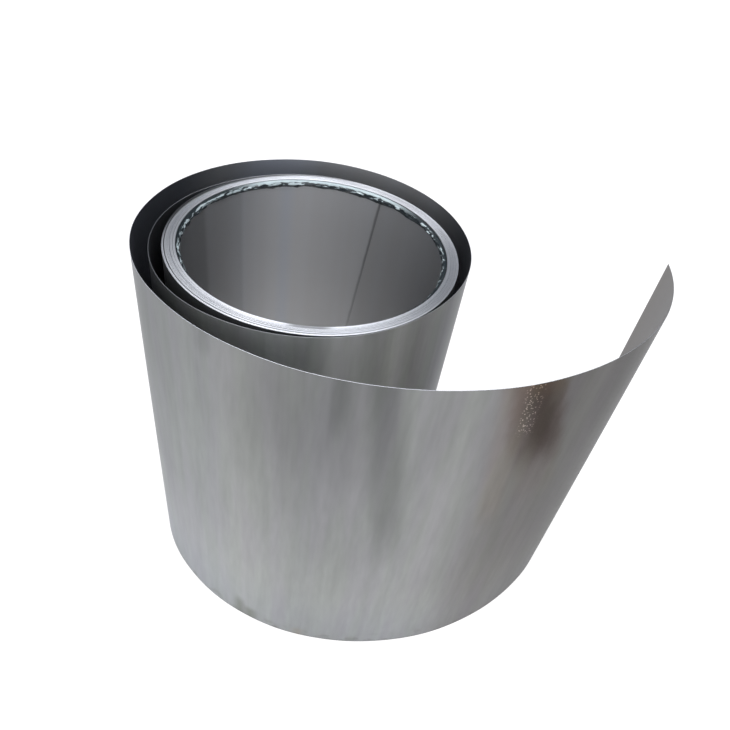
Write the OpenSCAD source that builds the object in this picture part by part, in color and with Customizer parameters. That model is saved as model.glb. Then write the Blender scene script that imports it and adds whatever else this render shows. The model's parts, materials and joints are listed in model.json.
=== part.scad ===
/* [Strip] */
// Width of the strip, which is the height of the coil as it stands on its end
strip_w = 500; // [250:1:700]
// Thickness of the strip
strip_t = 0.4; // [0.3:0.05:0.6]

/* [Tight turns] */
// Diameter of the bore, left by a 300 mm mandrel
bore_d = 305; // [250:1:400]
// Number of turns that lie tight on each other
turns = 30; // [12:1:60]
// Air between two tight turns
turn_gap = 0.06; // [0.02:0.01:0.15]
// How far a tight turn has slipped along the bore at most, so that the turns show on both ends
turn_slip = 0.6; // [0.3:0.1:1.5]

/* [Loose turn] */
// Bearing at which the strip leaves the tight turns
leave_angle = 115; // [110:1:125]
// Bearing of the bulge at the left
left_angle = 206; // [195:1:210]
// Air between the tight turns and the bulge at the left
left_gap = 14; // [8:0.5:18]
// Bearing at which the loose turn comes back to the tight turns
front_angle = 306; // [290:1:315]
// Clearance where the loose turn comes back to the tight turns
front_gap = 0.3; // [0.2:0.1:2]
// Bearing of the bulge at the back
back_angle = 94; // [80:1:105]
// Air between the tight turns and the bulge at the back
back_gap = 45; // [35:0.5:60]

/* [Tail] */
// Bearing at which the outer turn lies closest again and the tail begins
tail_angle = 224; // [215:1:235]
// Air between the tight turns and the start of the tail
tail_gap = 28; // [24:0.5:40]
// Bending radius of the tail's first stretch
tail_first_r = 300; // [250:5:400]
// Angle that the tail's first stretch turns through
tail_first_sweep = 32; // [25:1:40]
// Bending radius of the tail's flattest stretch
tail_flat_r = 375; // [300:5:500]
// Angle that the tail's flattest stretch turns through
tail_flat_sweep = 61; // [45:1:70]
// Bending radius of the tail's end
tail_end_r = 265; // [220:5:350]
// Angle that the tail's end turns through
tail_end_sweep = 34; // [20:1:45]

/* [Protective film] */
// Height of the band of film that stands loose in the mouth of the bore
film_h = 14; // [6:0.5:25]
// Thickness of the film and of the folds pressed into it
film_t = 0.4; // [0.2:0.1:0.5]
// Air between the film and the bore
film_clearance = 0.2; // [0.1:0.05:0.3]
// Distance from the coil's upper end down to the film
film_drop = 1; // [0:0.1:3]

/* [Hidden] */
$fn = 120;
bore_r = bore_d / 2;
pitch = strip_t + turn_gap;
coil_r = bore_r + turns * pitch;
// Depth below the coil's outside at which the middle of the loose turn is rooted
root_depth = strip_t * 3;
// Greatest angle between two neighbouring lines of a bent stretch
bend_step = 3;
// Part of each span between two stations that its first arc takes
first_arc_share = [0.29, 0.32, 0.15, 0.95];

// Stations of the loose turn: bearing, and distance from the axis to the middle of the strip
stations = [
    [leave_angle, coil_r - root_depth],
    [left_angle, coil_r + left_gap + strip_t / 2],
    [front_angle, coil_r + front_gap + strip_t / 2],
    [back_angle + 360, coil_r + back_gap + strip_t / 2],
    [tail_angle + 360, coil_r + tail_gap + strip_t / 2]
];

function unit(a) = [cos(a), sin(a)];
function cross2(u, v) = u.x * v.y - u.y * v.x;

// Two tangent arcs, each [radius, sweep], that join two stations square to the radius at both
function span(from, to, share) =
    let (join = from[0] + share * (to[0] - from[0]))
    let (u = unit(join) - unit(from[0]), v = unit(to[0]) - unit(join))
    let (d = to[1] * unit(to[0]) - from[1] * unit(from[0]))
    [
        [cross2(d, v) / cross2(u, v), join - from[0]],
        [cross2(u, d) / cross2(u, v), to[0] - join]
    ];

loose_arcs = [
    for (i = [0:len(first_arc_share) - 1])
        each span(stations[i], stations[i + 1], first_arc_share[i])
];
tail_arcs = [
    [tail_first_r, tail_first_sweep],
    [tail_flat_r, tail_flat_sweep],
    [tail_end_r, tail_end_sweep]
];
strip_arcs = concat(loose_arcs, tail_arcs);

// Middle line of the strip along the arcs from number i on, as [bearing of the normal, point]
function middle_line(arcs, bearing, start, i = 0) =
    i == len(arcs) ? [[bearing, start]] :
    let (r = arcs[i][0], sweep = arcs[i][1], steps = ceil(sweep / bend_step))
    let (centre = start - r * unit(bearing))
    concat(
        [for (k = [0:steps - 1]) let (a = bearing + sweep * k / steps) [a, centre + r * unit(a)]],
        middle_line(arcs, bearing + sweep, centre + r * unit(bearing + sweep), i + 1)
    );

// One face of the strip, at a distance to the outer side of its middle line
function strip_face(line, out) = [for (p = line) p[1] + out * unit(p[0])];

// How far tight turn i has slipped, 0 for the innermost and the outermost
function slip(i) = turn_slip * sin(180 * i / (turns - 1)) * (1 - cos(137.5 * i)) / 2;

// Distance from the axis to the inner side of tight turn i
function turn_r(i) = bore_r + i * pitch;

module tight_turns() {
    lower_edges = [for (i = [0:turns - 1]) each [[turn_r(i), slip(i)], [turn_r(i + 1), slip(i)]]];
    upper_edges = [for (p = lower_edges) [p.x, p.y + strip_w]];
    section = concat(lower_edges, [for (k = [len(upper_edges) - 1:-1:0]) upper_edges[k]]);
    rotate_extrude()
        polygon(section);
}

module loose_turn_and_tail() {
    line = middle_line(strip_arcs, leave_angle, stations[0][1] * unit(leave_angle));
    inner = strip_face(line, -strip_t / 2);
    outer = strip_face(line, strip_t / 2);
    linear_extrude(height = strip_w)
        polygon(concat(outer, [for (i = [len(inner) - 1:-1:0]) inner[i]]));
}

module steel_strip() {
    color([0.62, 0.62, 0.63])
        union() {
            tight_turns();
            loose_turn_and_tail();
        }
}

module film_edge() {
    color([0.86, 0.91, 0.95])
        translate([0, 0, strip_w - film_drop - film_h])
            rotate_extrude()
                translate([bore_r - film_clearance - film_t, 0])
                    square([film_t, film_h]);
}

steel_strip();
film_edge();
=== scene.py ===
# %% [markdown]
# # A coil of stainless steel strip
#
# The object is one thin strip of stainless steel, half a metre wide and more than thirty metres
# long. About thirty turns lie tight on each other round an open bore, one turn stands off loosely,
# and the free end opens out as a tail. A crumpled edge of clear film stands in the mouth of the bore.
#
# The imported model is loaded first. It is fixed, so everything here is built round it, in metres.

# %% Load the frame
import json
import math

import bpy
from mathutils import Matrix, Vector, noise


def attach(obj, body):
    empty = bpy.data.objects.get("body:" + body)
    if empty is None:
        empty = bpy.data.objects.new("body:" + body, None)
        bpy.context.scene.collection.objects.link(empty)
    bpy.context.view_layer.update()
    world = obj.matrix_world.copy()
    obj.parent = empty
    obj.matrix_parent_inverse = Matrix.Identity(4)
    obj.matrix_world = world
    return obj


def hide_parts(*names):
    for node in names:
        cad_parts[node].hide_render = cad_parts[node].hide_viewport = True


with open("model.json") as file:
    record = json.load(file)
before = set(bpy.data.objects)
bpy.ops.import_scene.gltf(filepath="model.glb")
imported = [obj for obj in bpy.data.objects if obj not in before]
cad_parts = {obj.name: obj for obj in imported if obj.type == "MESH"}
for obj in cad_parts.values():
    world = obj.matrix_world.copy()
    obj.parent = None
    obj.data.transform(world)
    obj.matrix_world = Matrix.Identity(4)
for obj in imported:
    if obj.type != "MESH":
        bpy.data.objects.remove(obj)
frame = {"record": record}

scene = bpy.context.scene
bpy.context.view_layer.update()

# %% [markdown]
# ## Sizes
#
# The bore and the strip's width come from the record, where they are stated as a mount. The rest
# are the driving sizes of the construction. Lengths are written in millimetres and turned to metres
# once, because a strip 0.4 mm thick is easier to read that way.

# %% Driving sizes
MM = 0.001
bore = frame["record"]["mounts"][0]["dims"]
bore_r = bore["r_mm"] * MM
strip_w = bore["length_mm"] * MM
strip_t = 0.4 * MM
turns = 30
pitch = 0.46 * MM
coil_r = bore_r + turns * pitch
print(f"bore radius {bore_r:.4f}, tight turns out to {coil_r:.4f}, strip width {strip_w:.3f}")

# %% [markdown]
# ## Helpers for modelling
#
# Operators act on whatever is selected, and the frame leaves its nodes selected. So each new piece
# starts from an empty selection. Faces and edges are then picked in code, by where they are.

# %% Modelling helpers
def select_only(obj):
    """Leaves nothing selected but obj, and makes it the active object."""
    bpy.ops.object.select_all(action="DESELECT")
    obj.select_set(True)
    bpy.context.view_layer.objects.active = obj


def pick_faces(obj, wanted):
    """In object mode, marks the faces for which wanted(face) holds, for the next edit."""
    for face in obj.data.polygons:
        face.select = bool(wanted(face))
    ends = {edge for face in obj.data.polygons if face.select for edge in face.edge_keys}
    for edge in obj.data.edges:
        edge.select = edge.key in ends
    points = {index for pair in ends for index in pair}
    for point in obj.data.vertices:
        point.select = point.index in points


def own_map(obj):
    """The UV map of a piece, which is made if the piece has none yet."""
    layers = obj.data.uv_layers
    layer = layers[0] if layers else layers.new(name="UVMap")
    layer.name = "UVMap"
    return layer


def unit(bearing):
    """Direction in plan at a bearing in degrees, counter-clockwise from +X."""
    return Vector((math.cos(math.radians(bearing)), math.sin(math.radians(bearing)), 0))


# %% [markdown]
# ## The path of the strip in plan
#
# A wound strip is a chain of bends: each bend has a radius and turns through an angle, and the next
# one starts where it ends, in the same direction. The tight turns are half circles, each a little
# larger than the one before, which is how a spiral is drawn with a compass. Where one half circle
# grows by more than its share, a crescent of air opens on one side of the coil and closes on the
# other. Those crescents are the dark lines between the turns. Bearings are in degrees,
# counter-clockwise from +X as seen from above.

# %% Half circles of the tight turns
# Bearing at which the strip starts, and the tighter bend that it starts with
inner_end = 55.9
curled_r = 140 * MM
curled_sweep = 12

# Bearing at which the first half circle starts, and where the strip leaves the tight turns
open_side = 200
leave_angle = 115

# Extra growth of single half circles. Even ones open on the left, odd ones on the right.
crescents = {
    50: 0.46 * MM, 47: 0.08 * MM, 40: 0.06 * MM, 34: 0.06 * MM,
    26: 0.16 * MM, 19: 0.08 * MM, 12: 0.16 * MM,
}

half_circles = int((360 * turns + leave_angle - open_side) // 180)
growth = (coil_r - strip_t / 2) - (bore_r + strip_t / 2)
share = (growth - sum(crescents.values())) / (half_circles + 1)

tight_arcs = [(curled_r, curled_sweep), (bore_r + strip_t / 2, open_side - inner_end - curled_sweep)]
for number in range(1, half_circles + 2):
    left_to_turn = 360 * turns + leave_angle - open_side - 180 * (number - 1)
    sweep = min(180, left_to_turn)
    tight_arcs.append((tight_arcs[-1][0] + share + crescents.get(number, 0), sweep))
print(f"{half_circles} half circles, least air between turns {(2 * share - strip_t) / MM:.3f} mm")

# %% [markdown]
# The mandrel gripped the inner end and bent it tighter, so it stands just inside the bore. From
# there the bends are added up once, to see where the strip leaves the tight turns.

# %% Start and end of the spiral
bore_point = (bore_r + strip_t / 2) * unit(inner_end + curled_sweep)
curled_centre = bore_point - curled_r * unit(inner_end + curled_sweep)
start_point = curled_centre + curled_r * unit(inner_end)
leave_point = start_point.copy()
bearing = inner_end
for radius, sweep in tight_arcs:
    leave_point += radius * (unit(bearing + sweep) - unit(bearing))
    bearing += sweep
print("tight turns end", round(leave_point.length / MM, 2), "mm from the axis")

# %% [markdown]
# The loose turn is given by stations: at a bearing, the strip lies a known gap outside the tight
# turns. Two bends that meet without a kink join each pair of stations, and two small equations give
# their radii. The tail is three bends that open out and close again.

# %% Loose turn and tail
# Bearing and gap of each station: left, front, back, and where the tail begins
loose_places = [(206, 14 * MM), (306, 0.3 * MM), (454, 45 * MM), (584, 28 * MM)]
stations = [(leave_angle, leave_point)]
for bearing, gap in loose_places:
    stations.append((bearing, (coil_r + gap + strip_t / 2) * unit(bearing)))

# The part of each stretch that its first bend takes, and the radius and sweep of the tail's bends
first_shares = [0.29, 0.32, 0.15, 0.95]
tail_arcs = [(300 * MM, 32), (375 * MM, 61), (265 * MM, 34)]


def span(start, end, first_share):
    """Two tangent bends between two stations, square to the radius at both."""
    (from_bearing, from_point), (to_bearing, to_point) = start, end
    join = from_bearing + first_share * (to_bearing - from_bearing)
    u = unit(join) - unit(from_bearing)
    v = unit(to_bearing) - unit(join)
    d = to_point - from_point
    turn = u.cross(v).z
    return [(d.cross(v).z / turn, join - from_bearing), (u.cross(d).z / turn, to_bearing - join)]


loose_arcs = []
for start, end, first_share in zip(stations, stations[1:], first_shares):
    loose_arcs += span(start, end, first_share)
loose_arcs += tail_arcs
for radius, sweep in loose_arcs:
    print(f"bend of radius {radius / MM:.1f} mm through {sweep:.1f} degrees")

# %% [markdown]
# ## Spinning the strip
#
# The strip could be a curve with a bevel, or a grid bent by a formula. Here it is made as a hand
# would make it: an upright edge as tall as the strip is wide is spun round the centre of the first
# bend, then on round the centre of the next, and so on out to the tail. Spin leaves its last edge
# selected, so every bend starts where the last one ended, and the bends are true arcs.

# %% Spin
# Greatest angle of one step, in degrees
tight_step = 3.75
loose_step = 1.5


def spin_chain(obj, arcs, point, bearing, step):
    """Spins the selected edge through the arcs. Returns where it got to, and each ring's run."""
    runs = []
    for radius, sweep in arcs:
        centre = point - radius * unit(bearing)
        steps = math.ceil(sweep / step)
        bpy.ops.mesh.spin(steps=steps, angle=-math.radians(sweep), center=centre, axis=(0, 0, 1))
        for k in range(steps):
            runs.append((radius * math.radians(sweep) / steps, bearing + sweep * (k + 1) / steps))
        bearing += sweep
        point = centre + radius * unit(bearing)
    return point, bearing, runs


bpy.ops.object.select_all(action="DESELECT")
bpy.ops.mesh.primitive_plane_add(size=1, location=(0, 0, 0))
strip = bpy.context.object
strip.name = "wound_strip"
strip.data.name = "wound_strip"
bpy.ops.object.mode_set(mode="EDIT")
bpy.ops.mesh.select_all(action="SELECT")
bpy.ops.mesh.merge(type="CENTER")
bpy.ops.transform.translate(value=start_point)
bpy.ops.mesh.extrude_region_move(TRANSFORM_OT_translate={"value": (0, 0, strip_w)})
bpy.ops.mesh.select_all(action="SELECT")
point, bearing, tight_runs = spin_chain(strip, tight_arcs, start_point, inner_end, tight_step)
tail_point, bearing, loose_runs = spin_chain(strip, loose_arcs, point, bearing, loose_step)
bpy.ops.object.mode_set(mode="OBJECT")

# How far along the strip each ring of points lies, and its bearing
ring_run = [(0.0, inner_end)]
for length, bearing in tight_runs + loose_runs:
    ring_run.append((ring_run[-1][0] + length, bearing))
leave_run = ring_run[len(tight_runs)][0]
strip_length = ring_run[-1][0]
print(f"strip length {strip_length:.2f} m, of which loose {strip_length - leave_run:.3f} m")
print("tail ends at", [round(c, 4) for c in tail_point])

# %% [markdown]
# ## A map along the strip
#
# The finish of rolled strip follows the strip and not the room, so the materials need a coordinate
# that runs along it. The UV map holds real metres: how far along the strip, and how far up it. Spin
# adds its points ring by ring, two to a ring, so a point's number tells which ring it is in.

# %% UV map in metres
strip_map = own_map(strip)
for loop in strip.data.loops:
    point = strip.data.vertices[loop.vertex_index]
    strip_map.data[loop.index].uv = (ring_run[point.index // 2][0], point.co.z)

# %% [markdown]
# ## Slipped turns
#
# In a real coil no two turns end at quite the same height. Each tight turn is lifted by up to about
# half a millimetre, smoothly along the strip, so that single turns show on the end of the coil. The
# lift swings up and down, and each turn is further on in its swing than the one before.

# %% Lift the tight turns
most_slip = 0.55 * MM
slip_phase = 137.5
for point in strip.data.vertices:
    done = (ring_run[point.index // 2][1] - inner_end) / 360
    if done < turns:
        swell = math.sin(math.pi * done / turns)
        point.co.z += most_slip * swell * (1 - math.cos(math.radians(slip_phase * done))) / 2

# %% [markdown]
# ## Edge waves
#
# Thin rolled strip is a little longer at its edges than in its middle, so its free edges wave. The
# loose part is cut into bands up its height, and its upper and lower bands are then moved in and
# out. The wave only moves points inwards, so the strip stays inside the size of the CAD model.

# %% Cut the loose part into bands
wave_bands = 9
select_only(strip)
for edge in strip.data.edges:
    a, b = (strip.data.vertices[i] for i in edge.vertices)
    upright = (a.co - b.co).xy.length < strip_t / 4
    edge.select = upright and ring_run[a.index // 2][0] > leave_run

# Edges alone are made selectable, so that only the upright ones are cut.
scene.tool_settings.mesh_select_mode = (False, True, False)
bpy.ops.object.mode_set(mode="EDIT")
bpy.ops.mesh.subdivide(number_cuts=wave_bands - 1)
bpy.ops.object.mode_set(mode="OBJECT")
scene.tool_settings.mesh_select_mode = (True, False, False)
print("points after cutting:", len(strip.data.vertices))

# %% Wave the free edges
wave_height = 0.5 * MM
wave_length = 170 * MM
wave_start = leave_run + 0.6
wave_ramp = 0.5
always_inward = 0.1 * MM

# A second, weaker wave is added, so that no two waves look the same. Its length is a share of the
# first one's.
second_strength = 0.6
second_length = 0.62
second_shift = 2

map_place = {}
for loop in strip.data.loops:
    map_place[loop.vertex_index] = Vector(strip.data.uv_layers[0].data[loop.index].uv)
rings = [Vector(ring) for ring in ring_run]


def normal_at(run):
    """Direction of the strip's outer side at a run along it."""
    low, high = 0, len(rings) - 1
    while high - low > 1:
        middle = (low + high) // 2
        low, high = (middle, high) if rings[middle].x <= run else (low, middle)
    part = (run - rings[low].x) / max(rings[high].x - rings[low].x, 1e-9)
    return unit(rings[low].y + part * (rings[high].y - rings[low].y))


for index, (run, height) in map_place.items():
    ramp = min(max((run - wave_start) / wave_ramp, 0), 1)
    if ramp == 0:
        continue
    edge = (2 * height / strip_w - 1) ** 2
    phase = 2 * math.pi * run / wave_length
    beat = math.sin(phase) + second_strength * math.sin(phase / second_length + second_shift)
    inward = always_inward + wave_height * edge * (1 + beat / (1 + second_strength)) / 2
    strip.data.vertices[index].co -= ramp * inward * normal_at(run)

# %% [markdown]
# ## The inner end
#
# The inner end isn't cut square: its line leans over, and it lies on the wall of the bore like the
# end of a label. Bisect cuts the first faces with a slanted plane and clears what is before it. Only
# faces near the start are selected, because the plane would cut the other turns as well.

# %% Trim the inner end
# Bearing of the inner end at the coil's lower end, and how far from the start faces are cut
inner_end_low = 78.4
trim_run = 70 * MM
top_corner = start_point + Vector((0, 0, strip_w))
low_corner = (bore_r + strip_t / 2) * unit(inner_end_low)
cut_normal = (top_corner - low_corner).cross(unit((inner_end + inner_end_low) / 2)).normalized()
if cut_normal.dot(unit(inner_end + 90)) < 0:
    cut_normal = -cut_normal
layer = strip.data.uv_layers[0].data
select_only(strip)
pick_faces(strip, lambda face: max(layer[i].uv.x for i in face.loop_indices) < trim_run)
bpy.ops.object.mode_set(mode="EDIT")
bpy.ops.mesh.bisect(plane_co=low_corner, plane_no=cut_normal, clear_inner=True)
bpy.ops.object.mode_set(mode="OBJECT")
print("points after trimming:", len(strip.data.vertices))

# %% [markdown]
# Bisect mixes up the map along its cut, so it is set again there from where the points are: first
# along the tighter bend, and past it along the bore.

# %% Set the map again
layer = strip.data.uv_layers[0].data
for loop in strip.data.loops:
    if layer[loop.index].uv.x < trim_run:
        place = strip.data.vertices[loop.vertex_index].co
        arm = place - curled_centre
        bent = math.degrees(math.atan2(arm.y, arm.x)) - inner_end
        past_bend = math.degrees(math.atan2(place.y, place.x)) - inner_end - curled_sweep
        run = curled_r * math.radians(min(bent, curled_sweep))
        run += (bore_r + strip_t / 2) * math.radians(max(past_bend, 0))
        layer[loop.index].uv = (run, place.z)

# %% [markdown]
# ## Thickness
#
# Solidify turns the sheet into metal of the real thickness. It can give the second face and the rim
# their own material slots, which suits a coil: the outer face is handled, the inner face is clean,
# and the slit edges are bare, rough metal.

# %% Thickness and slit edges
face_up = strip.data.polygons[len(strip.data.polygons) // 2]
outward = face_up.normal.dot(face_up.center.xy.to_3d().normalized()) > 0
select_only(strip)
bpy.ops.object.mode_set(mode="EDIT")
bpy.ops.mesh.select_all(action="SELECT")
if not outward:
    bpy.ops.mesh.flip_normals()
bpy.ops.object.mode_set(mode="OBJECT")

# Slots: 0 for the outer face, 1 for the inner face, 2 for the slit edges
slit_slot = 2
sheet_points = len(strip.data.vertices)
thickness = strip.modifiers.new("thickness", "SOLIDIFY")
thickness.thickness = strip_t
thickness.offset = 0
thickness.use_even_offset = True
thickness.material_offset = 1
thickness.material_offset_rim = slit_slot
for name in ("outer_face", "inner_face", "slit_edge"):
    strip.data.materials.append(bpy.data.materials.new(name))
bpy.ops.object.modifier_apply(modifier=thickness.name)

# %% [markdown]
# Solidify gives a slit edge no width on the map. Its second row of points is moved over by the
# thickness, so that grain can run along the edge.

# %% Map of the slit edges
for face in strip.data.polygons:
    if face.material_index == slit_slot and abs(face.normal.z) > 0.5:
        for i in face.loop_indices:
            if strip.data.loops[i].vertex_index >= sheet_points:
                strip.data.uv_layers[0].data[i].uv.y += strip_t
print("triangles:", sum(len(face.vertices) - 2 for face in strip.data.polygons))
print("faces of the slit edges:", sum(face.material_index == slit_slot for face in strip.data.polygons))

# %% Shading of the strip, and what it stands for
select_only(strip)
bpy.ops.object.shade_smooth_by_angle(angle=math.radians(35))

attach(strip, "root")
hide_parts("steel_strip")

# %% [markdown]
# ## The crumpled film
#
# The mouth of the bore is lined with the torn edge of a clear protective film. It starts at the
# inner corner of the innermost turn, bulges into the bore and curls back under. It stands out like a
# collar round the back and the sides, and lies almost flat at the front.

# %% Film
film_points = 720
film_rows = 14
film_row = 1 * MM
film_top = strip_w - 1 * MM
film_r = bore_r - 0.3 * MM
bpy.ops.object.select_all(action="DESELECT")
bpy.ops.mesh.primitive_circle_add(vertices=film_points, radius=film_r, location=(0, 0, film_top))
bpy.ops.object.transform_apply(location=True)
film = bpy.context.object
film.name = "film_band"
film.data.name = "film_band"
bpy.ops.object.mode_set(mode="EDIT")
bpy.ops.mesh.select_all(action="SELECT")
for row in range(film_rows):
    bpy.ops.mesh.extrude_region_move(TRANSFORM_OT_translate={"value": (0, 0, -film_row)})
bpy.ops.object.mode_set(mode="OBJECT")

# %% [markdown]
# The rows of points are bent along a curl: first into the bore, then down, then back under. Slow
# noise makes the reach uneven, and two finer ones press in the creases, which run mostly along the
# edge, as they do in film that was folded over by hand. Noise is read at places round a circle of
# radius 1, times a factor that says how fine it is.

# %% Map of the film
film_map = own_map(film)
for face in film.data.polygons:
    middle = math.atan2(face.center.y, face.center.x)
    for i in face.loop_indices:
        point = film.data.vertices[film.data.loops[i].vertex_index]
        turn = math.remainder(math.atan2(point.co.y, point.co.x) - middle, 2 * math.pi)
        film_map.data[i].uv = ((middle + turn) * bore_r, point.index // film_points / film_rows)

# %% Curl and crumple
# Bearing of the side where the film is full, and how far it curls
full_side = 85
curl_angle = math.radians(140)

# Size on the flat side, and how much is added on the full side
flat_reach, more_reach = 0.8 * MM, 3.4 * MM
flat_depth, more_depth = 3.0 * MM, 5.0 * MM
flat_crease, more_crease = 0.6 * MM, 1.0 * MM
kink_size = 0.9 * MM
least_reach = 0.1 * MM

for point in film.data.vertices:
    down = point.index // film_points / film_rows
    out = point.co.xy.to_3d().normalized()
    fullness = min(max((out.dot(unit(full_side)) + 0.9) / 0.5, 0), 1)
    curl = curl_angle * down
    reach = (flat_reach + more_reach * fullness) * (1 + 0.4 * noise.noise(out * 3))
    depth = (flat_depth + more_depth * fullness) * (1 + 0.3 * noise.noise(out * 5 + Vector((0, 4, 0))))
    crease = noise.noise(out * 11 + Vector((0, 0, 2.6 * down))) * (flat_crease + more_crease * fullness)
    kink = noise.noise(out * 34 + Vector((5, 0, 4 * down))) * kink_size
    loose = math.sin(math.pi / 2 * min(3 * down, 1))
    point.co -= out * max(reach * math.sin(curl) + (crease + kink) * loose, least_reach)
    point.co.z = film_top - depth * (1 - math.cos(curl)) / (1 - math.cos(curl_angle))
    point.co.z -= (abs(crease) + abs(kink)) * 0.6 * loose

# %% [markdown]
# The film's faces are turned to look into the bore, and then it gets a thickness. Real film is
# thinner still, but at this thickness its two skins stay well apart.

# %% Thickness of the film
select_only(film)
bpy.ops.object.mode_set(mode="EDIT")
bpy.ops.mesh.select_all(action="SELECT")
bpy.ops.mesh.normals_make_consistent(inside=True)
bpy.ops.object.mode_set(mode="OBJECT")
skin = film.modifiers.new("thickness", "SOLIDIFY")
skin.thickness = 0.15 * MM
skin.offset = 0
bpy.ops.object.modifier_apply(modifier=skin.name)
bpy.ops.object.shade_smooth_by_angle(angle=math.radians(50))

# %% What the film stands for
film_low = min(point.co.z for point in film.data.vertices)
print(f"film hangs down to {film_low:.4f}, {len(film.data.polygons)} faces")
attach(film, "root")
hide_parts("film_edge")

# %% [markdown]
# ## Materials
#
# Colours are written as they look on a screen and turned to the linear values that light is
# reckoned in. One small function adds a node with its settings and links.

# %% Colour and nodes
def colour(text):
    """A hex colour as seen on a screen, turned to the linear values that shaders use."""
    parts = [int(text[i:i + 2], 16) / 255 for i in (1, 3, 5)]
    return [c / 12.92 if c <= 0.04045 else ((c + 0.055) / 1.055) ** 2.4 for c in parts] + [1]


def add(tree, kind, inputs=None, **settings):
    """Adds one node. An input is a plain value, or an output socket to link from."""
    node = tree.nodes.new(kind)
    for name, value in settings.items():
        setattr(node, name, value)
    for key, value in (inputs or {}).items():
        if isinstance(value, bpy.types.NodeSocket):
            tree.links.new(value, node.inputs[key])
        else:
            node.inputs[key].default_value = value
    return node


# %% [markdown]
# A mark on the strip has limits: how far from the strip's end it reaches, and how high up, both in
# metres. Each limit has two places, one where nothing of the mark is left and one where it is whole,
# so every mark fades out softly. A band is two limits, one on each side of its middle. The level of
# a mark is what the colour is multiplied by, so a mark above 1 makes the strip lighter.

# %% Marks with soft limits
def band(value, middle, reach, core=0.0):
    """Two limits of a mark that is whole within core of its middle and gone at its reach."""
    return (value, middle - reach, middle - core), (value, middle + reach, middle + core)


def inside(tree, *limits):
    """1 where all limits hold and 0 outside. A limit is a value, where it is 0, where it is 1."""
    mask = 1.0
    for value, nothing, whole in limits:
        side = add(tree, "ShaderNodeMapRange", {0: value, 1: nothing, 2: whole},
                   interpolation_type="SMOOTHSTEP")
        mask = add(tree, "ShaderNodeMath", {0: side.outputs[0], 1: mask}, operation="MULTIPLY").outputs[0]
    return mask


def stained(tree, tint, by, *limits):
    """Multiplies a colour by another one, or by a plain level, inside the limits."""
    by = by if isinstance(by, tuple) else (by, by, by)
    return add(tree, "ShaderNodeMix", {0: inside(tree, *limits), 6: tint, 7: (*by, 1)},
               data_type="RGBA", blend_type="MULTIPLY").outputs[2]


def streaks(tree, spot, width, height, seed):
    """Noise from 0 to 1, in marks about as wide along the strip and as tall as given, in metres."""
    size = Vector((1 / width, 1 / height, 1))
    place = add(tree, "ShaderNodeVectorMath", {0: spot, 1: size, 2: Vector((seed, 0, 0))},
                operation="MULTIPLY_ADD")
    return add(tree, "ShaderNodeTexNoise", {0: place.outputs[0], "Scale": 1.0, "Detail": 2.0}).outputs[0]


# %% [markdown]
# Every face of the strip is bare metal, so it is fully metallic and its colour tints what it
# mirrors. The rolls leave fine lines along the strip, and light that falls on such lines spreads
# out across them. So all three materials are anisotropic, with the grain along the map's first axis.
# The two faces mirror a little less at a flat angle than polished metal does, which is what their
# grey specular tint is for.

# %% Cold-rolled steel
flat_angle_grey = colour("#C8C8C8")


def steel_shader(name, roughness, anisotropic):
    """Starts a steel material. Returns its tree, its shader and the map's values in metres."""
    material = bpy.data.materials[name]
    material.use_nodes = True
    tree = material.node_tree
    shader = tree.nodes["Principled BSDF"]
    shader.inputs["Metallic"].default_value = 1
    shader.inputs["Roughness"].default_value = roughness
    shader.inputs["Anisotropic"].default_value = anisotropic
    shader.inputs["Anisotropic Rotation"].default_value = 0.25
    tangent = add(tree, "ShaderNodeTangent", direction_type="UV_MAP", uv_map="UVMap")
    tree.links.new(tangent.outputs[0], shader.inputs["Tangent"])
    spot = add(tree, "ShaderNodeUVMap", uv_map="UVMap").outputs[0]
    run, height, _ = add(tree, "ShaderNodeSeparateXYZ", {0: spot}).outputs
    from_end = add(tree, "ShaderNodeMath", {0: strip_length, 1: run}, operation="SUBTRACT").outputs[0]
    return tree, shader, spot, run, from_end, height


# %% [markdown]
# ### Outer face: cold-rolled stainless steel, handled
#
# Bands of slightly different grey run up the strip, where it was rolled and wiped. Light and shade that
# the face mirrors are painted into its grey as well: it is darker towards the top and at the free end,
# lighter at the foot and in upright painted reflections, and much lighter in the gap behind the start of
# the tail. The lower edge is a little dirty.

# %% Outer face
tree, shader, spot, run, from_end, height = steel_shader("outer_face", roughness=0.36, anisotropic=0.6)
shader.inputs["Specular Tint"].default_value = flat_angle_grey
rolled = streaks(tree, spot, width=0.06, height=1.5, seed=3)
tint = add(tree, "ShaderNodeMix", {0: rolled, 6: colour("#9A9C9C"), 7: colour("#A5A6A3")},
           data_type="RGBA").outputs[2]

# Painted shade: darker towards the top, and in one broad band half a metre from the free end
tint = stained(tree, tint, 0.80, (height, 0.05, 0.42))
tint = stained(tree, tint, 0.86, (height, 0.30, 0.47))
tint = stained(tree, tint, 0.82, *band(from_end, 0.50, 0.19))

# %% Painted shade at the free end
# Painted shade: a little warmer in colour, darker towards the top, and darkest at the very end
tint = stained(tree, tint, (0.77, 0.735, 0.72), (from_end, 0.44, 0.28))
tint = stained(tree, tint, 0.74, (from_end, 0.44, 0.28), (height, 0.0, 0.25))
tint = stained(tree, tint, 0.88, (from_end, 0.27, 0.18))

# Painted light: lighter places high up near the patch, all along the foot, and in two upright painted
# reflections
tint = stained(tree, tint, 1.18, *band(from_end, 0.250, 0.03), (height, 0.36, 0.48))
tint = stained(tree, tint, 1.11, (from_end, 0.32, 0.38), (height, 0.25, 0.08))
tint = stained(tree, tint, 1.11, *band(from_end, 0.380, 0.050, 0.02), (height, 0.16, 0.24))
tint = stained(tree, tint, 1.10, *band(from_end, 0.460, 0.035, 0.01), (height, 0.37, 0.44))

# %% Away from the free end
# A cooler tone away from the free end, and a bluish painted reflection low down
tint = stained(tree, tint, (0.99, 1.0, 1.02), (from_end, 0.60, 0.74))
tint = stained(tree, tint, (0.99, 1.0, 1.03), (height, 0.14, 0.03))
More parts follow.
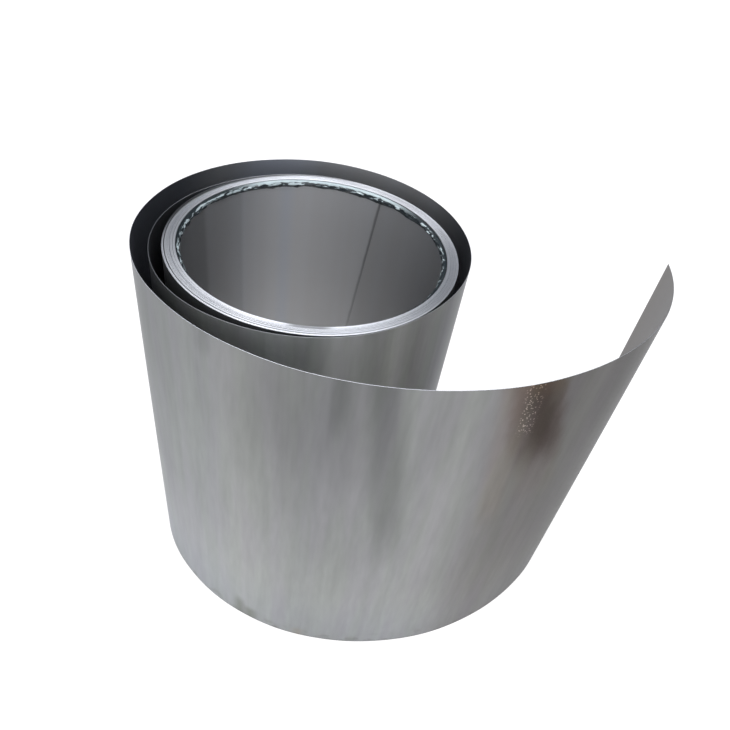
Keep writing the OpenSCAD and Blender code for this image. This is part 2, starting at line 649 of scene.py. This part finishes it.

# A dark line, and behind it painted light on the part in the gap behind the start of the tail, with
# painted highlights at its two sides. The outside of the tight turns is a little darker again.
tint = stained(tree, tint, 0.86, *band(from_end, 1.600, 0.04, 0.02))
tint = stained(tree, tint, (2.40, 2.38, 2.30), (from_end, 1.605, 1.66), (from_end, 2.0, 1.85))
tint = stained(tree, tint, 1.42, *band(from_end, 1.69, 0.035))
tint = stained(tree, tint, 1.18, *band(from_end, 1.82, 0.035))
tint = stained(tree, tint, 0.95, (from_end, 2.5, 2.8))

# %% Painted reflections in upright bands
# Middle, reach, the height where each band begins, and its level
reflection_bands = [
    (0.505, 0.045, 0.26, 0.90), (0.524, 0.016, 0.40, 0.76), (0.570, 0.090, 0.15, 0.80),
]
for middle, reach, low, level in reflection_bands:
    tint = stained(tree, tint, level, *band(from_end, middle, reach), (height, low, 0.47))

# Two narrow ones lean, so they are measured from a line that shifts by this much for each metre up.
# The last one is a short mark at the upper edge.
band_slant = -0.13
leaning = add(tree, "ShaderNodeMath", {0: height, 1: band_slant, 2: from_end},
              operation="MULTIPLY_ADD").outputs[0]
tint = stained(tree, tint, 0.76, *band(leaning, 0.419, 0.027, 0.006), (height, 0.16, 0.32))
tint = stained(tree, tint, 0.86, *band(leaning, 0.420, 0.016, 0.004), (height, 0.36, 0.49))
tint = stained(tree, tint, 0.84, *band(from_end, 0.668, 0.022), (height, 0.462, 0.485))

# %% [markdown]
# A brown patch of dried coolant hangs down from the upper edge near the free end. It ran down at a
# slant, so its place across is measured from a leaning line, and noise makes its outline uneven. It
# is lighter and more orange at the very top. Light specks of scale lie on one side of it, and a
# warm stain trails down beside it.

# %% Patch of coolant
patch_slant = -0.34
uneven_across = 14 * MM
uneven_upward = 30 * MM
uneven = streaks(tree, spot, width=0.015, height=0.03, seed=11)
lean = add(tree, "ShaderNodeMath", {0: height, 1: patch_slant, 2: from_end},
           operation="MULTIPLY_ADD").outputs[0]
across = add(tree, "ShaderNodeMath", {0: uneven, 1: uneven_across, 2: lean},
             operation="MULTIPLY_ADD").outputs[0]
upward = add(tree, "ShaderNodeMath", {0: uneven, 1: uneven_upward, 2: height},
             operation="MULTIPLY_ADD").outputs[0]
sides = (across, 0.133, 0.153), (across, 0.222, 0.196)
core = (across, 0.142, 0.168), (across, 0.202, 0.174)
tint = stained(tree, tint, (0.70, 0.64, 0.62), *sides, (upward, 0.350, 0.425))
tint = stained(tree, tint, (0.54, 0.49, 0.47), *core, (upward, 0.375, 0.440))
tint = stained(tree, tint, (1.28, 1.18, 1.04), *core, (upward, 0.485, 0.518))
tint = stained(tree, tint, (1.0, 0.97, 0.93), *sides, (height, 0.27, 0.34))

# %% Stain and specks beside the patch
trail_slant = -0.14
trail = add(tree, "ShaderNodeMath", {0: height, 1: trail_slant, 2: from_end},
            operation="MULTIPLY_ADD").outputs[0]
tint = stained(tree, tint, (1.01, 0.95, 0.91), *band(trail, 0.293, 0.024, 0.006), (height, 0.24, 0.32))

# One speck in each cell, with 360 cells to a metre. Real specks are finer than that.
specks_in_a_metre = 360.0
specks = add(tree, "ShaderNodeTexVoronoi", {0: spot, "Scale": specks_in_a_metre}, feature="F1").outputs[0]
tint = stained(tree, tint, 3.2, (specks, 0.34, 0.22), *band(trail, 0.2715, 0.013, 0.006),
               (height, 0.423, 0.434))

# %% [markdown]
# Where the strip stands on the ground its lower edge has picked up dirt. The wiping marks over the
# whole face are drawn coarser than real ones, which are too fine to show. Their grey leans to green
# in some places and to violet in others, as thin oil films do.

# %% Dirt at the foot
grime = streaks(tree, spot, width=0.02, height=0.018, seed=5)
tint = stained(tree, tint, (0.74, 0.74, 0.70), (grime, 0.50, 0.72), (height, 0.03, 0.0))
tint = stained(tree, tint, 0.75, (height, 0.004, 0.0))

# Middle, reach, top and level of single spots
dirt_spots = [
    (0.629, 0.013, 0.050, (0.66, 0.67, 0.62)), (0.612, 0.016, 0.032, (0.68, 0.69, 0.63)),
    (0.540, 0.014, 0.022, (0.97, 0.92, 0.84)),
]
for middle, reach, top, level in dirt_spots:
    tint = stained(tree, tint, level, *band(from_end, middle, reach), (height, top, top / 2))

# %% Oil film and wiping marks
greenish = (0.985, 1.0, 0.98, 1)
violet = (1.0, 0.985, 1.015, 1)
oily = inside(tree, (streaks(tree, spot, width=0.022, height=0.25, seed=31), 0.36, 0.64))
oil = add(tree, "ShaderNodeMix", {0: oily, 6: greenish, 7: violet}, data_type="RGBA").outputs[2]
tint = add(tree, "ShaderNodeVectorMath", {0: tint, 1: oil}, operation="MULTIPLY").outputs[0]

# Two sizes of mark: width, height, seed, and how much lighter and darker they make the strip
for width, tall, seed, depth in [(0.006, 0.035, 7, 0.045), (0.014, 0.16, 9, 0.07)]:
    wiped = add(tree, "ShaderNodeMapRange",
                {0: streaks(tree, spot, width, tall, seed), 1: 0.25, 2: 0.75, 3: 1 - depth, 4: 1 + depth})
    tint = add(tree, "ShaderNodeVectorMath", {0: tint, 3: wiped.outputs[0]}, operation="SCALE").outputs[0]
tree.links.new(tint, shader.inputs["Base Color"])

# %% [markdown]
# ### Inner face: cold-rolled stainless steel, clean
# The same strip, seen from inside. Its grey is lighter than the outer face's, and that difference between
# the two faces is painted light and shade for what each mirrors. Its last stretch at the free end is
# painted shade. The wall of the bore shows a few upright bands with plain limits, which are painted
# reflections. A thin painted shadow follows the inner end, which is how the end shows in the bore at all.

# %% Inner face
tree, shader, spot, run, from_end, height = steel_shader("inner_face", roughness=0.36, anisotropic=0.6)
shader.inputs["Specular Tint"].default_value = flat_angle_grey
rolled = streaks(tree, spot, width=0.035, height=3, seed=13)
tint = add(tree, "ShaderNodeMix", {0: rolled, 6: colour("#CBC9C7"), 7: colour("#D4D6D9")},
           data_type="RGBA").outputs[2]
# Painted shade: darker towards the bottom
tint = stained(tree, tint, 0.88, (height, 0.34, 0.15))

# Painted shade on the stretch at the free end. Then, further from the end, on the loose turn: painted
# shade at the left of the coil, painted light, brighter and bluer, at the back, and painted shade from the
# right round the front, where it faces the tight turns.
tint = stained(tree, tint, (0.345, 0.335, 0.325), (from_end, 0.60, 0.34))
tint = stained(tree, tint, (0.58, 0.60, 0.66), (from_end, 0.72, 0.88), (from_end, 1.07, 0.99))
tint = stained(tree, tint, (1.13, 1.18, 1.30), *band(from_end, 1.14, 0.085, 0.02))
tint = stained(tree, tint, (0.42, 0.43, 0.46), (from_end, 1.36, 1.48), (from_end, 2.3, 2.2))


# %% Wall of the bore
def bore_run(bearing):
    """Run along the strip at a bearing on the first turn, which starts at the inner end."""
    return bore_r * math.radians(bearing - inner_end)


# Painted reflections in bands on the wall: level, then for each limit the bearing where it is gone and
# where it is whole
wall_reflections = [
    (1.13, (130, 127)),
    (0.80, (112, 66)),
    ((0.97, 1.0, 1.05), (99, 105), (111, 105)),
    (0.80, (150, 154), (210, 195)),
    (0.81, (345, 370), (440, 420)),
]
tint = stained(tree, tint, 1.09, (run, 1.2, 1.0))
for level, *limits in wall_reflections:
    tint = stained(tree, tint, level, *[(run, bore_run(gone), bore_run(whole)) for gone, whole in limits])

# %% [markdown]
# The painted shadow follows the slanted inner end, whose distance from the strip's start grows downwards.
# Slow noise makes the line a little wavy. It is whole near the upper end of the coil and weaker further
# down, where it fades in the photograph.

# %% Painted shadow at the inner end
# The strip's start, as the run where marks of the inner end are gone and where they are whole
near_start = (0.09, 0.08)
line_gone, line_whole = 6 * MM, 3 * MM
line_wave = 3 * MM
end_length = curled_r * math.radians(curled_sweep)
end_length += bore_r * math.radians(inner_end_low - inner_end - curled_sweep)
past_end = add(tree, "ShaderNodeMath", {0: height, 1: end_length / strip_w, 2: run},
               operation="MULTIPLY_ADD")
wavy = add(tree, "ShaderNodeMath",
           {0: streaks(tree, spot, width=1.0, height=0.03, seed=37), 1: line_wave, 2: past_end.outputs[0]},
           operation="MULTIPLY_ADD").outputs[0]

# Over the whole height, and once more in the upper part only
for level, low, top in [(0.80, -0.2, -0.1), (0.65, 0.25, 0.42)]:
    tint = stained(tree, tint, level, (wavy, end_length + line_gone, end_length + line_whole),
                   (run, *near_start), (height, low, top))
tree.links.new(tint, shader.inputs["Base Color"])

# %% [markdown]
# ### Slit edges: bare sheared steel
#
# The slitting knives leave a fine burr all along the edge, so the ends of the coil look like a
# record: bright where the turns run across the line of sight, and dark where they run along it.
# Each turn was cut at another time, so it has a slightly different brightness.

# %% Slit edges
tree, shader, spot, run, from_end, height = steel_shader("slit_edge", roughness=0.5, anisotropic=0.9)
cut = inside(tree, (streaks(tree, spot, width=0.35, height=1, seed=17), 0.3, 0.65))
tint = add(tree, "ShaderNodeMix", {0: cut, 6: colour("#ECEEF3"), 7: colour("#FEFEFF")},
           data_type="RGBA").outputs[2]

# Darker along the first stretch of the loose turn, and painted shade at the strip's start, whose own edge
# lies in the end's shadow
tint = stained(tree, tint, 0.45, *band(from_end, 1.9, 0.45))
tint = stained(tree, tint, 0.35, (run, *near_start))

# %% [markdown]
# The ends of the coil are painted a little darker on one side, as painted shade. On the far side the outer
# turns lie in the dark beside the loose turn, and that shade is painted on them: most of them at the
# middle of that side, and fewer to both sides of it. So the place on the end is added to the run along the
# strip.

# %% Painted shade on the ends of the coil
shaded_side_bearing = 60
dark_gap_bearing = 130

# Metres of run that one metre towards the shaded side counts for
run_per_metre = 150.0
place = add(tree, "ShaderNodeTexCoord").outputs["Object"]
# Painted shade on one side of the ends
shaded_side = add(tree, "ShaderNodeVectorMath", {0: place, 1: unit(shaded_side_bearing)},
              operation="DOT_PRODUCT").outputs["Value"]
tint = stained(tree, tint, 0.78, (shaded_side, 0.139, 0.157))
# Painted shade on the outer turns beside the loose turn
far_out = add(tree, "ShaderNodeVectorMath", {0: place, 1: unit(dark_gap_bearing)},
              operation="DOT_PRODUCT").outputs["Value"]
outer_turns = add(tree, "ShaderNodeMath", {0: far_out, 1: run_per_metre, 2: run},
                  operation="MULTIPLY_ADD").outputs[0]
tint = stained(tree, tint, 0.16, (outer_turns, 37.5, 47.0), (from_end, 2.3, 3.0))

# %% Marks at the front
# At the front the inner turns are darker in one place, and painted shade fills the gap beside one turn.
x, y, _ = add(tree, "ShaderNodeSeparateXYZ", {0: place}).outputs
tint = stained(tree, tint, 0.40, *band(x, 0.001, 0.028, 0.012), (y, 0.0, -0.1), (run, 10.5, 8.0))
tint = stained(tree, tint, 0.45, (x, -0.09, -0.04), (x, 0.035, 0.01), (y, 0.0, -0.1),
               *band(run, 18.9, 0.9, 0.35))
tree.links.new(tint, shader.inputs["Base Color"])

# %% [markdown]
# ### Film: clear polyethylene, crumpled
#
# Thin film is glossy and nearly clear. Its dark colour, nearly black with a green tinge, is painted shade
# for the dark gap seen through it. Where it is creased, the many small folds scatter the light and it
# looks cloudy: all along its crest at the back, which faces up and is partly painted light, and in short
# painted glints at the sides. Light passes both of its skins, so one skin is more see-through than the
# whole film.

# %% Film material
clear = bpy.data.materials.new("clear_polyethylene_film")
clear.use_nodes = True
tree = clear.node_tree
shader = tree.nodes["Principled BSDF"]
spot = add(tree, "ShaderNodeUVMap", uv_map="UVMap").outputs[0]

# Cloudy along the crest at the back, partly painted light on the crest that faces up
around, down, _ = add(tree, "ShaderNodeSeparateXYZ", {0: spot}).outputs
uneven = add(tree, "ShaderNodeMath",
             {0: streaks(tree, spot, width=0.012, height=0.6, seed=19), 1: 0.4, 2: down},
             operation="MULTIPLY_ADD").outputs[0]
quarter = bore_r * math.radians(90)
at_back = band(around, 0.95 * quarter, 0.6 * quarter, 0.3 * quarter)
lit_crest_at_back = inside(tree, (uneven, 0.62, 0.46), *at_back)

# Painted glints all round, and more of them towards the left
sideways = add(tree, "ShaderNodeMath", {0: around}, operation="ABSOLUTE").outputs[0]
to_left = inside(tree, (sideways, quarter, 1.5 * quarter))
glint_noise = add(tree, "ShaderNodeMath",
            {0: to_left, 1: 0.07, 2: streaks(tree, spot, width=0.010, height=0.22, seed=23)},
            operation="MULTIPLY_ADD").outputs[0]
painted_glints = inside(tree, (glint_noise, 0.53, 0.60), *band(down, 0.45, 0.26, 0.12))
cloudy_and_lit = add(tree, "ShaderNodeMath", {0: lit_crest_at_back, 1: painted_glints}, operation="MAXIMUM").outputs[0]
# Painted shade in the dark colour, and painted light where the film is cloudy
tint = add(tree, "ShaderNodeMix", {0: cloudy_and_lit, 6: colour("#182226"), 7: colour("#C3D0D1")},
           data_type="RGBA").outputs[2]
tree.links.new(tint, shader.inputs["Base Color"])
shader.inputs["Roughness"].default_value = 0.12
shader.inputs["IOR"].default_value = 1.5
shader.inputs["Alpha"].default_value = 0.65
film.data.materials.append(clear)

# %% [markdown]
# ## Floor, light and camera
#
# The coil stands on a plain white floor that has no edge in view. To the camera the floor glows
# nearly white and still takes the coil's shadow. The steel would turn into a white mirror if it saw
# that glow, so mirrored rays meet a dimmer floor, and the floor only scatters light as paper would.

# %% Floor
glow_in_mirror, glow_to_camera = 0.3, 0.75
paper_in_mirror, paper_to_camera = (0.72, 0.70, 0.68, 1), (0.30, 0.29, 0.28, 1)
paper_for_light = (0.8, 0.8, 0.8, 1)
bpy.ops.object.select_all(action="DESELECT")
bpy.ops.mesh.primitive_plane_add(size=60, location=(0, 0, -0.2 * MM))
floor = bpy.context.object
floor.name = "floor"
paper = bpy.data.materials.new("white_paper")
paper.use_nodes = True
tree = paper.node_tree
tree.nodes.clear()
path = add(tree, "ShaderNodeLightPath").outputs
by_camera = path["Is Camera Ray"]
mirrored = add(tree, "ShaderNodeMath", {0: path["Is Glossy Ray"], 1: path["Is Transmission Ray"]},
               operation="MAXIMUM").outputs[0]
seen = add(tree, "ShaderNodeMath", {0: by_camera, 1: mirrored}, operation="MAXIMUM")
glow = add(tree, "ShaderNodeMix", {0: by_camera, 2: glow_in_mirror, 3: glow_to_camera}, data_type="FLOAT")
white = add(tree, "ShaderNodeEmission", {"Color": (1, 1, 1, 1), "Strength": glow.outputs[0]})
dull = add(tree, "ShaderNodeMix", {0: by_camera, 6: paper_in_mirror, 7: paper_to_camera}, data_type="RGBA")
shade = add(tree, "ShaderNodeBsdfDiffuse", {"Color": dull.outputs[2]})
both = add(tree, "ShaderNodeAddShader", {0: white.outputs[0], 1: shade.outputs[0]})
plain = add(tree, "ShaderNodeBsdfDiffuse", {"Color": paper_for_light})
mix = add(tree, "ShaderNodeMixShader", {0: seen.outputs[0], 1: plain.outputs[0], 2: both.outputs[0]})
add(tree, "ShaderNodeOutputMaterial", {"Surface": mix.outputs[0]})
floor.data.materials.append(paper)

# %% [markdown]
# Bare metal shows what is round it, so the world is made as carefully as the steel. A photographer
# would hang one large soft screen to the front left and leave the rest of the room dim. Here that is
# a wide soft lobe of light on a grey sky, a little stronger overhead, where the slit edges find
# their shine. The camera itself sees white.

# %% World
world = bpy.data.worlds.new("studio")
scene.world = world
world.use_nodes = True
tree = world.node_tree
tree.nodes.clear()
screen_side = Vector((-0.4, -0.5, 0.77)).normalized()
overhead_side = Vector((0.25, 0, 0.97))
dim_room = (0.215, 0.23, 0.252, 1)
screen_light = (1.46, 1.50, 1.60, 1)
where = add(tree, "ShaderNodeTexCoord").outputs["Generated"]
facing = add(tree, "ShaderNodeVectorMath", {0: where, 1: screen_side},
             operation="DOT_PRODUCT").outputs["Value"]
sky = add(tree, "ShaderNodeMix",
          {0: inside(tree, (facing, -0.1, 0.75)), 6: dim_room, 7: screen_light},
          data_type="RGBA").outputs[2]
overhead = add(tree, "ShaderNodeVectorMath", {0: where, 1: overhead_side},
               operation="DOT_PRODUCT").outputs["Value"]
sky = stained(tree, sky, 1.6, (overhead, 0.50, 0.92))
path = add(tree, "ShaderNodeLightPath").outputs
level = add(tree, "ShaderNodeMix", {0: path["Is Camera Ray"], 6: sky, 7: (1, 1, 1, 1)}, data_type="RGBA")
back = add(tree, "ShaderNodeBackground", {"Color": level.outputs[2], "Strength": 1.0})
add(tree, "ShaderNodeOutputWorld", {"Surface": back.outputs[0]})

# %% [markdown]
# One small lamp from the same side gives the coil a faint shadow on the floor.

# %% Lamp
bpy.ops.object.light_add(type="AREA", location=(-1.1, -0.9, 2.0))
lamp = bpy.context.object
lamp.data.shape = "SQUARE"
lamp.data.size = 0.3
lamp.data.energy = 6
lamp.rotation_euler = (Vector((0, 0, 0.4)) - lamp.location).to_track_quat("-Z", "Y").to_euler()

# %% [markdown]
# The camera stands in front of the coil and looks down into the bore. Its place and its three
# angles were worked out from the curves of the strip's two edges. The horizon leans a little,
# because the picture was taken by hand.

# %% Camera
camera_place = Vector((0, -0.62374, 0.87998))
look_down = math.radians(41.760)
look_aside = math.radians(7.3106)
tilt = math.radians(9.4883)
image_width = 730
focal_pixels = 629.28
sensor_width = 36
aside = Vector((math.sin(look_aside), math.cos(look_aside), 0))
ahead = math.cos(look_down) * aside - math.sin(look_down) * Vector((0, 0, 1))
level_right = Vector((math.cos(look_aside), -math.sin(look_aside), 0))
level_up = level_right.cross(ahead)
right = math.cos(tilt) * level_right + math.sin(tilt) * level_up
up = -math.sin(tilt) * level_right + math.cos(tilt) * level_up
bpy.ops.object.camera_add(location=camera_place)
camera = bpy.context.object
camera.data.lens = focal_pixels / image_width * sensor_width
camera.data.sensor_width = sensor_width
camera.data.clip_start = 0.01
camera.rotation_mode = "QUATERNION"
camera.rotation_quaternion = Matrix((right, up, -ahead)).transposed().to_quaternion()
scene.camera = camera

scene.view_settings.view_transform = "Standard"
